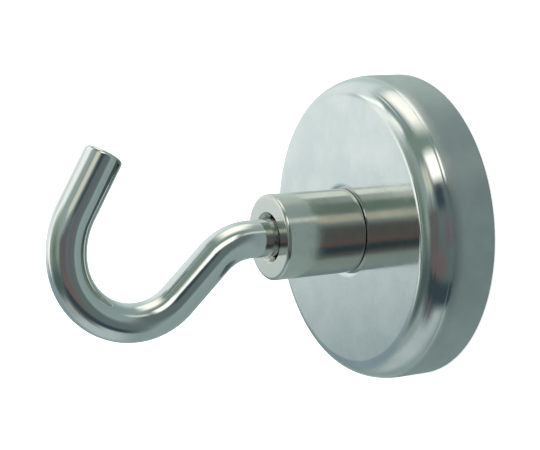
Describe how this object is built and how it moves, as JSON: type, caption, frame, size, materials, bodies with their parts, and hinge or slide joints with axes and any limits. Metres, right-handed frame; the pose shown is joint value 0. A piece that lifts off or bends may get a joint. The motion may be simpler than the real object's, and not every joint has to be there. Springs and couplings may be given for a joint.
{
  "type": "pot magnet with screw hook",
  "caption": "Round pot magnet with a raised threaded bush on its back and an open J-shaped wire hook screwed into the bush.",
  "frame": {"origin": "centre of the flat magnet face, which is the part's underside", "axes": "+Z from the magnet face along the pot's axis to the hook; +X from the axis towards the side the hook's tip is on, in the plane of the hook; +Y completes the right hand and is square to the hook's plane"},
  "size_m": [0.048, 0.048, 0.0595],
  "materials": {
    "satin_nickel": "nickel plate, mirror-smooth on the back and shoulder, satin on the side wall",
    "bush_nickel": "nickel plate over turned steel, semi-satin",
    "magnet_nickel": "smooth nickel plate on the magnet disc",
    "potting_resin": "dark cast epoxy, low gloss",
    "glue": "pale cured epoxy",
    "polished_nickel": "bright polished nickel plate"
  },
  "bodies": {
    "pot": {"pot_cup": "satin_nickel", "threaded_bush": "bush_nickel", "magnet_disc": "magnet_nickel", "potting_ring": "potting_resin", "glue_layer": "glue"},
    "hook": {"screw_hook": "polished_nickel"}
  },
  "joints": [
    {"name": "hook_turn", "type": "hinge", "parent": "pot", "child": "hook", "pos_m": [0, 0, 0.0245], "axis": [0, 0, 1], "continuous": true}
  ]
}
